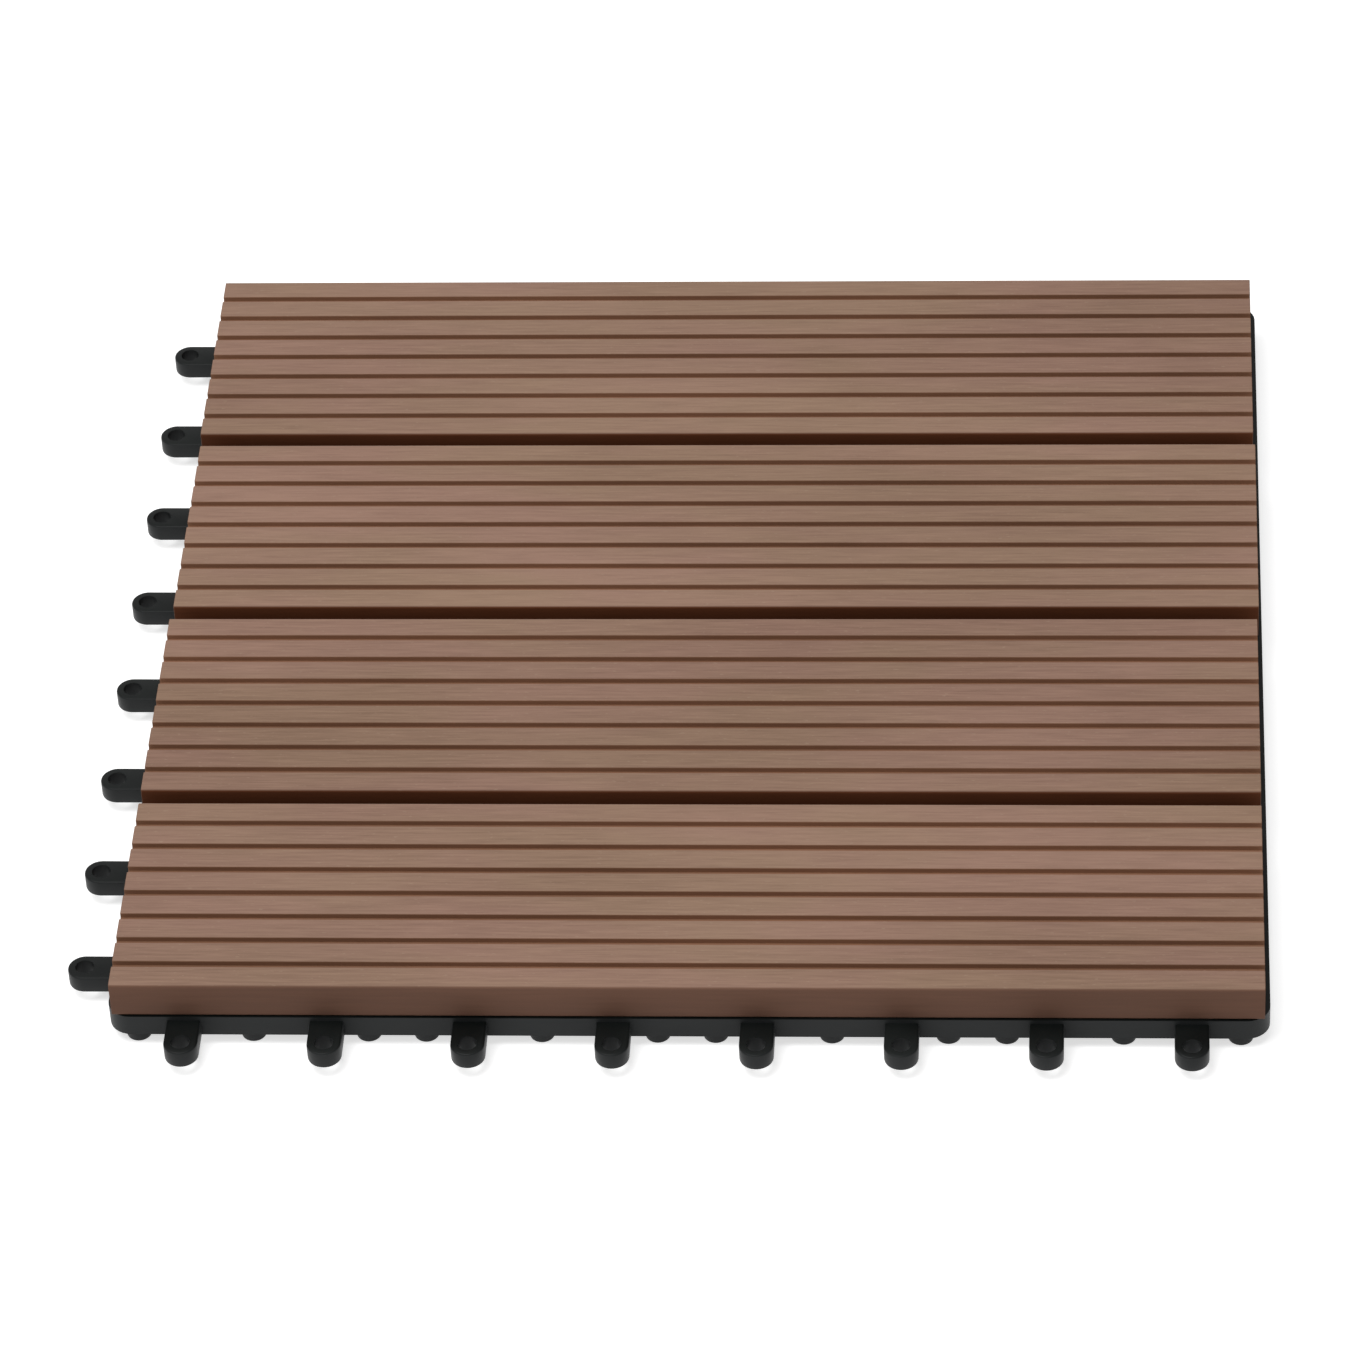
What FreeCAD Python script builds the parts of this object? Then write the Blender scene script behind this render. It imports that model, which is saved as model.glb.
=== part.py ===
import FreeCAD, Part
import math
import os
import Sketcher
from FreeCAD import Vector

# Interlocking deck tile: four grooved composite slats on one moulded base grid.
# The tile stands on z = 0. Its tongues point to -X and -Y, its notches and pegs face +X and +Y.

doc = FreeCAD.newDocument("deck_tile")

# Driving dimensions, in millimetres
sheet = doc.addObject("Spreadsheet::Sheet", "sizes")
DRIVING = [
    ("slat_width", 70.5, "one slat across its grooves"),
    ("slat_gap", 4.8, "between two slats of one tile"),
    ("joint_gap", 3.6, "between the side slats of two joined tiles"),
    ("end_gap", 5.6, "between the slat ends of two joined tiles"),
    ("slat_thickness", 10.5, "slat, underside to ridge tops"),
    ("slat_edge_chamfer", 0.8, "long edges of a slat"),
    ("groove_pitch", 9.0, "groove to groove"),
    ("groove_width", 2.0, "groove"),
    ("groove_depth", 1.5, "groove"),
    ("stagger", 0.5, "how far the third slat sits to the right of the others"),
    ("base_gap", 2.7, "between the rims of two joined tiles"),
    ("base_height", 9.5, "floor to the seat of the slats"),
    ("base_corner_radius", 6.0, "upright corners of the rim"),
    ("rim_thickness", 2.0, "rim wall"),
    ("rib_thickness", 1.6, "rib wall"),
    ("foot_height", 3.4, "floor to the underside of rim and ribs"),
    ("foot_diameter", 6.5, "foot, across its flats"),
    ("foot_share", 0.4, "module centre to its outer feet and ribs, as a share of the module"),
    ("edge_rib_setback", 7.4325, "rim face to the middle of the ribs next to it"),
    ("foot_setback", 0.8, "rim face to the nearest side of an edge foot"),
    ("tongue_share", 0.495, "tongue to tongue, as a share of the module"),
    ("tongue_reach", 11.0, "tile boundary to the tip of a tongue"),
    ("tongue_width", 8.8, "tongue, and the diameter of its round end"),
    ("tongue_thickness", 4.9, "tongue"),
    ("loop_bore", 5.0, "hole in the tongue's round end"),
    ("peg_clearance", 0.3, "peg to loop, on the radius"),
    ("notch_clearance", 0.5, "tongue to notch, at each side"),
    ("notch_end_clearance", 0.6, "tongue tip to the end of the notch"),
    ("notch_roof", 1.0, "web over a notch, which carries the peg"),
    ("notch_wall", 1.5, "wall round a notch"),
    ("boss_diameter", 10.4, "screw boss, across its flats"),
    ("seat_thickness", 3.0, "web between screw head and slat"),
    ("screw_head_diameter", 7.0, "screw head"),
    ("screw_head_height", 2.4, "screw head"),
    ("screw_diameter", 3.4, "screw shank"),
    ("screw_bite", 6.5, "screw in the slat"),
    ("head_clearance", 0.4, "screw head to counterbore, on the radius"),
    ("shank_clearance", 0.25, "shank to its hole in the boss, on the radius"),
    ("pilot_clearance", 0.05, "shank to its hole in the slat, on the radius"),
    ("pilot_rest", 0.6, "end of the screw to the end of its hole in the slat"),
]
for row, (alias, number, meaning) in enumerate(DRIVING, start=1):
    sheet.set(f"A{row}", meaning)
    sheet.set(f"B{row}", str(number))
    sheet.setAlias(f"B{row}", alias)
doc.recompute()

# Counts, and the turn that sets a post's flats towards the edges of the tile
SLATS = 4
GROOVES = 7
SCREW_COLUMNS = (0, 3)
POST_SIDES = 8
POST_TURN = FreeCAD.Rotation(Vector(0, 0, 1), 180 / POST_SIDES)

# Sizes worked out from the driving ones, as expressions
SLAT_PITCH = "(sizes.slat_width + sizes.slat_gap)"
TILE = f"({SLATS} * sizes.slat_width + {SLATS - 1} * sizes.slat_gap + sizes.joint_gap)"
SLAT_LENGTH = f"({TILE} - sizes.end_gap)"
BASE = f"({TILE} - sizes.base_gap)"
MODULE = f"({BASE} / {SLATS})"
FOOT_SPACING = f"(sizes.foot_share * {MODULE})"
GRID_HEIGHT = "(sizes.base_height - sizes.foot_height)"
RIB_REACH = f"({BASE} - sizes.rim_thickness)"
INSIDE = f"({BASE} - 2 * sizes.rim_thickness)"
INSIDE_RADIUS = "(sizes.base_corner_radius - sizes.rim_thickness)"
FOOT_ROW = f"({BASE} / 2 - sizes.foot_setback - sizes.foot_diameter / 2)"
EDGE_RIB = f"({BASE} / 2 - sizes.edge_rib_setback)"
LOOP_CENTRE = f"({TILE} / 2 + sizes.tongue_reach - sizes.tongue_width / 2)"
PEG_CENTRE = f"({TILE} - {LOOP_CENTRE})"
NOTCH_WIDTH = "(sizes.tongue_width + 2 * sizes.notch_clearance)"
HOUSING_WIDTH = f"({NOTCH_WIDTH} + 2 * sizes.notch_wall)"
NOTCH_END = f"({TILE} / 2 - sizes.tongue_reach - sizes.notch_end_clearance)"
ROOF_LEVEL = "(sizes.base_height - sizes.notch_roof)"
SEAT_LEVEL = "(sizes.base_height - sizes.seat_thickness)"
PEG = "(sizes.loop_bore - 2 * sizes.peg_clearance)"
PEG_HEIGHT = f"({ROOF_LEVEL} - sizes.foot_height)"
COUNTERBORE = "(sizes.screw_head_diameter + 2 * sizes.head_clearance)"
SHANK_HOLE = "(sizes.screw_diameter + 2 * sizes.shank_clearance)"
PILOT = "(sizes.screw_diameter + 2 * sizes.pilot_clearance)"
# The tongues stand out on two sides only, so the middle of the whole tile lies off the slats' middle
MIDDLE = f"(({TILE} / 2 + sizes.tongue_reach - {BASE} / 2) / 2)"


def value(expression):
    """The number that an expression over the sheet has now."""
    return float(sheet.evalExpression(expression))


def module_place(index):
    """Distance of a module's centre line from the middle of the tile."""
    return f"(({index - (SLATS - 1) / 2}) * {MODULE})"


def foot_places():
    """The places of feet and cross ribs along one edge: three to a module, the outermost by the rim."""
    places = [f"({module_place(i)} + {k} * {FOOT_SPACING})" for i in range(SLATS) for k in (-1, 0, 1)]
    return [f"-{EDGE_RIB}"] + places[1:-1] + [EDGE_RIB]


def rail_places():
    """The places of the rails: under the middle of each slat, under each gap and at the edge rows."""
    inner = [f"({k / 2} * {MODULE})" for k in range(1 - SLATS, SLATS)]
    return [f"-{EDGE_RIB}"] + inner + [EDGE_RIB]


def tongue_places():
    """The places of tongues, notches and pegs along one edge: two to a slat."""
    return [f"({k - SLATS + 0.5} * sizes.tongue_share * {MODULE})" for k in range(2 * SLATS)]


def origin_part(body, role):
    """A body's own origin plane or axis."""
    return next(f for f in body.Origin.OriginFeatures if f.Role == role)


def new_body(name):
    """A body whose place in the part's frame follows the sheet."""
    body = doc.addObject("PartDesign::Body", name)
    body.Label = name
    body.setExpression(".Placement.Base.x", MIDDLE)
    body.setExpression(".Placement.Base.y", MIDDLE)
    return body


def new_sketch(body, name):
    """A sketch on the body's upright cross plane."""
    sketch = body.newObject("Sketcher::SketchObject", name)
    sketch.AttachmentSupport = (origin_part(body, "YZ_Plane"), [""])
    sketch.MapMode = "FlatFace"
    return sketch


def constrain(sketch, fixed, driven):
    """Add plain constraints, and dimensions whose last term is the expression that drives them."""
    dimensions = [Sketcher.Constraint(*terms, value(expression)) for *terms, expression in driven]
    numbers = sketch.addConstraint(fixed + dimensions)
    for number, (*_, expression) in zip(numbers[len(fixed):], driven):
        sketch.setExpression(f"Constraints[{number}]", expression)


def rectangle(sketch, left, low, wide, deep):
    """A rectangle from its lower left corner."""
    x, y = value(left), value(low)
    across, up = value(wide), value(deep)
    corners = [(x, y), (x + across, y), (x + across, y + up), (x, y + up)]
    a = sketch.GeometryCount
    sides = [a, a + 1, a + 2, a + 3]
    for start, end in zip(corners, corners[1:] + corners[:1]):
        sketch.addGeometry(Part.LineSegment(Vector(*start, 0), Vector(*end, 0)), False)
    fixed = [Sketcher.Constraint("Coincident", i, 2, j, 1) for i, j in zip(sides, sides[1:] + sides[:1])]
    for side, kind in zip(sides, ("Horizontal", "Vertical", "Horizontal", "Vertical")):
        fixed.append(Sketcher.Constraint(kind, side))
    driven = [
        ("DistanceX", a, 1, a, 2, wide),
        ("DistanceY", a + 1, 1, a + 1, 2, deep),
        ("DistanceX", -1, 1, a, 1, left),
        ("DistanceY", -1, 1, a, 1, low),
    ]
    constrain(sketch, fixed, driven)


def swept(body, kind, sketch):
    """Carry a sketch through the whole length of the slat, as a pad or as a pocket."""
    feature = body.newObject(kind, f"{sketch.Name}_swept")
    feature.Profile = sketch
    feature.Refine = False
    feature.Midplane = True
    feature.setExpression("Length", SLAT_LENGTH)
    return feature


def repeat_along(body, feature, axis, count, length):
    """Repeat a feature along one of the body's axes, over a whole length."""
    pattern = body.newObject("PartDesign::LinearPattern", feature.Name + "_row")
    pattern.Originals = [feature]
    pattern.Refine = False
    pattern.Direction = (origin_part(body, axis), [""])
    pattern.setExpression("Length", length)
    pattern.Occurrences = count
    body.Tip = pattern
    return pattern


def edge_names(shape, wanted):
    """Names of the edges that pass a test."""
    return [f"Edge{i}" for i, edge in enumerate(shape.Edges, start=1) if wanted(edge)]


def put(shape, x, y, z):
    """Place a primitive by three expressions."""
    for axis, expression in zip("xyz", (x, y, z)):
        shape.setExpression(f".Placement.Base.{axis}", expression)
    return shape


def block(name, left, low, level, wide, deep, high):
    """A box from its lowest corner."""
    box = doc.addObject("Part::Box", name)
    for size, expression in zip(("Length", "Width", "Height"), (wide, deep, high)):
        box.setExpression(size, expression)
    return put(box, left, low, level)


def rod(name, x, y, level, diameter, high):
    """An upright cylinder."""
    cylinder = doc.addObject("Part::Cylinder", name)
    cylinder.setExpression("Radius", f"{diameter} / 2")
    cylinder.setExpression("Height", high)
    return put(cylinder, x, y, level)


def shape_post(prism, across, high):
    """Size an eight-sided prism across its flats."""
    prism.Polygon = POST_SIDES
    prism.setExpression("Circumradius", f"{across} / 2 / {math.cos(math.pi / POST_SIDES)}")
    prism.setExpression("Height", high)


def post(name, x, y, level, across, high):
    """An upright eight-sided post, or the room for one."""
    prism = doc.addObject("Part::Prism", name)
    shape_post(prism, across, high)
    prism.Placement.Rotation = POST_TURN
    return put(prism, x, y, level)


def joined(name, shapes):
    """One solid from many."""
    union = doc.addObject("Part::MultiFuse", name)
    union.Shapes = shapes
    return union


def less(name, base, tools):
    """A solid with others cut out of it."""
    cut = doc.addObject("Part::Cut", name)
    cut.Base = base
    cut.Tool = joined(f"{name}_tools", tools)
    return cut


def rounded_block(name, wide, radius):
    """A square block of the rim's height with rounded upright corners, about the middle of the tile."""
    start = f"-{wide} / 2"
    square = block(f"{name}_block", start, start, "sizes.foot_height", wide, wide, GRID_HEIGHT)
    doc.recompute()

    def upright(edge):
        a, b = (vertex.Point for vertex in edge.Vertexes)
        return abs(a.x - b.x) + abs(a.y - b.y) < 1e-6

    rounded = doc.addObject("Part::Fillet", name)
    rounded.Base = square
    size = value(radius)
    numbers = [i for i, edge in enumerate(square.Shape.Edges, start=1) if upright(edge)]
    rounded.Edges = [(i, size, size) for i in numbers]
    return rounded


def build_rim():
    """The rim: a square wall with rounded upright corners."""
    rim = doc.addObject("Part::Cut", "rim")
    rim.Base = rounded_block("rim_outside", BASE, "sizes.base_corner_radius")
    rim.Tool = rounded_block("rim_inside", INSIDE, INSIDE_RADIUS)
    return rim


def build_ribs():
    """The lattice inside the rim: cross ribs in line with the feet, and rails along the slats."""
    ribs = []
    start = f"-{RIB_REACH} / 2"
    for number, place in enumerate(foot_places(), start=1):
        left = f"{place} - sizes.rib_thickness / 2"
        shape = ("sizes.rib_thickness", RIB_REACH, GRID_HEIGHT)
        ribs.append(block(f"cross_rib_{number}", left, start, "sizes.foot_height", *shape))
    for number, place in enumerate(rail_places(), start=1):
        low = f"{place} - sizes.rib_thickness / 2"
        shape = (RIB_REACH, "sizes.rib_thickness", GRID_HEIGHT)
        ribs.append(block(f"rail_{number}", start, low, "sizes.foot_height", *shape))
    return ribs


def along_edge(side, across, out, wide, deep):
    """Left, low, width and depth of a rectangle on one edge.

    It lies across the edge from out - deep to out, measured from the middle of the tile.
    """
    first, low = {
        "back": (f"{across} - {wide} / 2", f"{out} - {deep}"),
        "right": (f"{out} - {deep}", f"{across} - {wide} / 2"),
        "front": (f"{across} - {wide} / 2", f"-{out}"),
        "left": (f"-{out}", f"{across} - {wide} / 2"),
    }[side]
    if side in ("back", "front"):
        return first, low, wide, deep
    return first, low, deep, wide


def on_edge(side, across, out):
    """x and y of a point on one edge's row."""
    return {
        "back": (across, out),
        "right": (out, across),
        "front": (across, f"-{out}"),
        "left": (f"-{out}", across),
    }[side]


def build_base():
    """The moulded base: rim, ribs, feet, looped tongues, notches with pegs, and screw bosses."""
    solid = [build_rim()] + build_ribs()
    holes = []
    pegs = []
    foot = "sizes.foot_diameter"

    # Tongues of the front and left edges, each ending in a round loop
    for side in ("front", "left"):
        for number, place in enumerate(tongue_places(), start=1):
            name = f"{side}_tongue_{number}"
            x, y = on_edge(side, place, LOOP_CENTRE)
            deep = f"({LOOP_CENTRE} - {RIB_REACH} / 2)"
            left, low, wide, long = along_edge(side, place, LOOP_CENTRE, "sizes.tongue_width", deep)
            level = "sizes.foot_height"
            solid.append(block(f"{name}_arm", left, low, level, wide, long, "sizes.tongue_thickness"))
            solid.append(rod(f"{name}_end", x, y, level, "sizes.tongue_width", "sizes.tongue_thickness"))
            holes.append(rod(f"{name}_bore", x, y, level, "sizes.loop_bore", "sizes.tongue_thickness"))

    # Notches of the back and right edges, each with a housing round it and a peg under its roof
    for side in ("back", "right"):
        for number, place in enumerate(tongue_places(), start=1):
            name = f"{side}_notch_{number}"
            deep = f"({RIB_REACH} / 2 - {NOTCH_END} + sizes.notch_wall)"
            left, low, wide, long = along_edge(side, place, f"{RIB_REACH} / 2", HOUSING_WIDTH, deep)
            solid.append(block(f"{name}_housing", left, low, "sizes.foot_height", wide, long, GRID_HEIGHT))
            deep = f"({TILE} / 2 - {NOTCH_END})"
            left, low, wide, long = along_edge(side, place, f"{TILE} / 2", NOTCH_WIDTH, deep)
            holes.append(block(name, left, low, "0", wide, long, ROOF_LEVEL))
            x, y = on_edge(side, place, PEG_CENTRE)
            pegs.append(rod(f"{side}_peg_{number}", x, y, "sizes.foot_height", PEG, PEG_HEIGHT))

    # Feet under the rim, three to a module. The front and back rows have the feet of the corners
    for side in ("front", "back", "left", "right"):
        places = foot_places() if side in ("front", "back") else foot_places()[1:-1]
        for number, place in enumerate(places, start=1):
            x, y = on_edge(side, place, FOOT_ROW)
            solid.append(post(f"{side}_foot_{number}", x, y, "0", foot, "sizes.foot_height"))

    # Screw bosses reach the floor, and the other module centres have plain feet
    for i in range(SLATS):
        for j in range(SLATS):
            x, y, name = module_place(i), module_place(j), f"{i + 1}_{j + 1}"
            if i in SCREW_COLUMNS:
                solid.append(post(f"boss_{name}", x, y, "0", "sizes.boss_diameter", "sizes.base_height"))
                holes.append(post(f"counterbore_{name}", x, y, "0", COUNTERBORE, SEAT_LEVEL))
                holes.append(post(f"shank_hole_{name}", x, y, "0", SHANK_HOLE, "sizes.base_height"))
            else:
                solid.append(post(f"foot_{name}", x, y, "0", foot, "sizes.foot_height"))

    grid = less("grid", joined("grid_solid", solid), holes)
    base = joined("base_grid", [grid] + pegs)
    base.Refine = True
    return put(base, MIDDLE, MIDDLE, "0")


def build_slat(index):
    """A slat: chamfered long edges, seven grooves in the top and pilot holes for its screws below."""
    body = new_body(f"slat_{index + 1}")
    aside = "sizes.stagger" if index == 2 else "0"
    body.setExpression(".Placement.Base.x", f"{MIDDLE} + {aside}")
    body.setExpression(".Placement.Base.y", f"{MIDDLE} + ({index - (SLATS - 1) / 2}) * {SLAT_PITCH}")
    body.setExpression(".Placement.Base.z", "sizes.base_height")
    name = f"slat_{index + 1}"

    sketch = new_sketch(body, f"{name}_section")
    rectangle(sketch, "-sizes.slat_width / 2", "0", "sizes.slat_width", "sizes.slat_thickness")
    board = swept(body, "PartDesign::Pad", sketch)
    doc.recompute()

    def long_edge(edge):
        a, b = (vertex.Point for vertex in edge.Vertexes)
        return abs(a.y - b.y) + abs(a.z - b.z) < 1e-6

    chamfer = body.newObject("PartDesign::Chamfer", f"{name}_long_edges")
    chamfer.Base = (board, edge_names(board.Shape, long_edge))
    chamfer.setExpression("Size", "sizes.slat_edge_chamfer")

    sketch = new_sketch(body, f"{name}_groove")
    first_groove = f"(-{(GROOVES - 1) / 2} * sizes.groove_pitch - sizes.groove_width / 2)"
    floor = "(sizes.slat_thickness - sizes.groove_depth)"
    rectangle(sketch, first_groove, floor, "sizes.groove_width", "sizes.groove_depth")
    groove = swept(body, "PartDesign::Pocket", sketch)
    repeat_along(body, groove, "Y_Axis", GROOVES, f"{GROOVES - 1} * sizes.groove_pitch")

    across = f"({module_place(index)} - ({index - (SLATS - 1) / 2}) * {SLAT_PITCH})"
    for column in SCREW_COLUMNS:
        pilot = body.newObject("PartDesign::SubtractivePrism", f"{name}_pilot_{column + 1}")
        pilot.AttachmentSupport = (origin_part(body, "XY_Plane"), [""])
        pilot.MapMode = "FlatFace"
        shape_post(pilot, PILOT, "(sizes.screw_bite + sizes.pilot_rest)")
        pilot.AttachmentOffset = FreeCAD.Placement(Vector(), POST_TURN)
        pilot.setExpression(".AttachmentOffset.Base.x", f"{module_place(column)} - {aside}")
        pilot.setExpression(".AttachmentOffset.Base.y", across)
        pilot.Refine = False
        body.Tip = pilot
    return body


def build_screw(number, x, y):
    """A slat screw, head down, driven up through its boss."""
    name = f"screw_{number}"
    head_level = f"({SEAT_LEVEL} - sizes.screw_head_height)"
    head = post(f"{name}_head", x, y, head_level, "sizes.screw_head_diameter", "sizes.screw_head_height")
    length = "(sizes.seat_thickness + sizes.screw_bite)"
    shank = post(f"{name}_shank", x, y, SEAT_LEVEL, "sizes.screw_diameter", length)
    return joined(name, [head, shank])


def build_screws():
    """All the slat screws, one group of separate solids."""
    places = [(module_place(i), module_place(j)) for i in SCREW_COLUMNS for j in range(SLATS)]
    group = doc.addObject("Part::Compound", "slat_screws")
    group.Label = "slat_screws"
    group.Links = [build_screw(number, x, y) for number, (x, y) in enumerate(places, start=1)]
    return put(group, MIDDLE, MIDDLE, "0")


pieces = [build_base()]
pieces += [build_slat(index) for index in range(SLATS)]
pieces.append(build_screws())
doc.recompute()

for item in doc.Objects:
    if "Invalid" in item.State or "Error" in item.State:
        raise RuntimeError(f"{item.Name} did not build: {item.State}")
for piece in pieces:
    if piece.Shape.isNull() or not piece.Shape.isValid():
        raise RuntimeError(f"{piece.Label} has no valid shape")

os.makedirs("parts", exist_ok=True)
for piece in pieces:
    piece.Shape.exportStep(f"parts/{piece.Label}.step")
    print(piece.Label, len(piece.Shape.Solids), round(piece.Shape.Volume, 1))
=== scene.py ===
import bmesh
import bpy
import math
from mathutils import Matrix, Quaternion, Vector


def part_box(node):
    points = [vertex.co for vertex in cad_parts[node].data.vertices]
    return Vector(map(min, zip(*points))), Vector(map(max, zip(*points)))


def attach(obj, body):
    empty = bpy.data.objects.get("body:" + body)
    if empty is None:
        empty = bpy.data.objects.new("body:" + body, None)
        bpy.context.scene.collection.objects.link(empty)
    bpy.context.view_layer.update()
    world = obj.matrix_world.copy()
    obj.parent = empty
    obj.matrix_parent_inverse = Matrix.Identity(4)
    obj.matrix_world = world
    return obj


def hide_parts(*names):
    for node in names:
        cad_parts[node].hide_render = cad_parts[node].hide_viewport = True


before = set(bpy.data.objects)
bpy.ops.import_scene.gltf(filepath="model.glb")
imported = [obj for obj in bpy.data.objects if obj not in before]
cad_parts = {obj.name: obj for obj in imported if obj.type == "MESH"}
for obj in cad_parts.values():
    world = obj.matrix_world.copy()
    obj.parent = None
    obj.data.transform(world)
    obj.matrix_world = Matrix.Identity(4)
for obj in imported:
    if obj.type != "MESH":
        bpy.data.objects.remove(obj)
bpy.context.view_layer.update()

# The slats. Four boards of brown wood and plastic composite, pressed through a die with seven
# grooves in the top, brushed along their length so that the ridges are paler than the grooves, and
# sawn square. Two screws from below hold each one.
MM = 0.001
NEAR = 0.01 * MM
STRAIGHT = math.radians(1)
QUARTER = math.radians(90)
SMOOTH_BELOW = math.radians(40)
MIDDLE = 6.175 * MM
BASE = 297.3 * MM
MODULES = 4
MODULE = BASE / MODULES
MODULE_CENTRES = [(i - (MODULES - 1) / 2) * MODULE for i in range(MODULES)]
SCREW_COLUMNS = (MODULE_CENTRES[0], MODULE_CENTRES[3])
SLAT_NODES = ["slat_1", "slat_2", "slat_3", "slat_4"]
GROOVES = 7
GROOVE_PITCH = 9.0 * MM
GROOVE_WIDTH = 2.0 * MM
GROOVE_DEPTH = 1.5 * MM
BOARD_EDGE_RADIUS, BOARD_EDGE_STEPS = 0.8 * MM, 4
RIDGE_EDGE_RADIUS, RIDGE_EDGE_STEPS = 0.3 * MM, 3
GROOVE_FLOOR_RADIUS, GROOVE_FLOOR_STEPS = 0.25 * MM, 2
SAWN_EDGE, SAWN_EDGE_STEPS = 0.12 * MM, 1
PILOT = 3.5 * MM
PILOT_DEPTH = 7.1 * MM
PILOT_SIDES = 24
ROD_SIDES = 32


def pick(*pieces):
    """Select some pieces and nothing else, with the first of them active."""
    bpy.ops.object.select_all(action="DESELECT")
    for piece in pieces:
        piece.select_set(True)
    bpy.context.view_layer.objects.active = pieces[0]


def primitive(add, name, place, stretch, turn=(0, 0, 0), **more):
    """Add a primitive with nothing else selected, and put its place and size into its mesh."""
    bpy.ops.object.select_all(action="DESELECT")
    add(location=place, rotation=turn, **more)
    piece = bpy.context.active_object
    piece.name = name
    piece.data.name = name
    piece.scale = stretch
    bpy.ops.object.transform_apply(location=True, rotation=True, scale=True)
    return piece


def edit(piece, kind="FACE"):
    """Open one piece for editing."""
    pick(piece)
    bpy.ops.object.mode_set(mode="EDIT")
    bpy.ops.mesh.select_mode(type=kind)


def close():
    """Leave edit mode."""
    bpy.ops.object.mode_set(mode="OBJECT")


def choose(piece, kind, wanted):
    """Select the faces or edges that pass a test, and nothing else."""
    bpy.ops.mesh.select_mode(type=kind)
    bpy.ops.mesh.select_all(action="DESELECT")
    mesh = bmesh.from_edit_mesh(piece.data)
    for element in mesh.faces if kind == "FACE" else mesh.edges:
        if wanted(element):
            element.select_set(True)
    bmesh.update_edit_mesh(piece.data)


def round_off(piece, wanted, radius, steps):
    """Round the edges that pass a test."""
    choose(piece, "EDGE", wanted)
    bpy.ops.mesh.bevel(offset=radius, segments=steps, affect="EDGES")


def slice_at(axis, places):
    """Cut the whole mesh by a plane at each place along an axis."""
    for place in places:
        bpy.ops.mesh.select_all(action="SELECT")
        bpy.ops.mesh.bisect(plane_co=tuple(place * a for a in axis), plane_no=axis)


def both_sides(places, reach):
    """The two places at a reach on either side of each place."""
    return [place + side * reach for place in places for side in (-1, 1)]


def near_any(value, places, reach):
    """Whether a value is within reach of one of some places."""
    return min(abs(value - place) for place in places) < reach


def remove_chosen(piece, wanted):
    """Take out the faces that pass a test."""
    choose(piece, "FACE", wanted)
    bpy.ops.mesh.delete(type="FACE")


def draw_out(run):
    """Draw a flat section out into a solid whose faces point outwards."""
    bpy.ops.mesh.select_all(action="SELECT")
    bpy.ops.mesh.extrude_region_move(TRANSFORM_OT_translate={"value": run})
    bpy.ops.mesh.select_all(action="SELECT")
    bpy.ops.mesh.normals_make_consistent(inside=False)


def clear_straight():
    """Dissolve the edges and points that lie in a flat face or a straight edge."""
    bpy.ops.mesh.select_all(action="SELECT")
    bpy.ops.mesh.dissolve_limited(angle_limit=STRAIGHT)


def upright_rod(name, x, y, low, high, diameter, sides=ROD_SIDES):
    """An upright round rod between two levels."""
    return primitive(
        bpy.ops.mesh.primitive_cylinder_add,
        name,
        (x, y, (low + high) / 2),
        (1, 1, 1),
        vertices=sides,
        radius=diameter / 2,
        depth=high - low,
    )


def combine(piece, tool, operation):
    """Join or cut with another mesh, which is used up."""
    pick(piece)
    modifier = piece.modifiers.new(operation.lower(), "BOOLEAN")
    modifier.object = tool
    modifier.operation = operation
    modifier.solver = "EXACT"
    bpy.ops.object.modifier_apply(modifier=modifier.name)
    bpy.data.objects.remove(tool)


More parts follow.
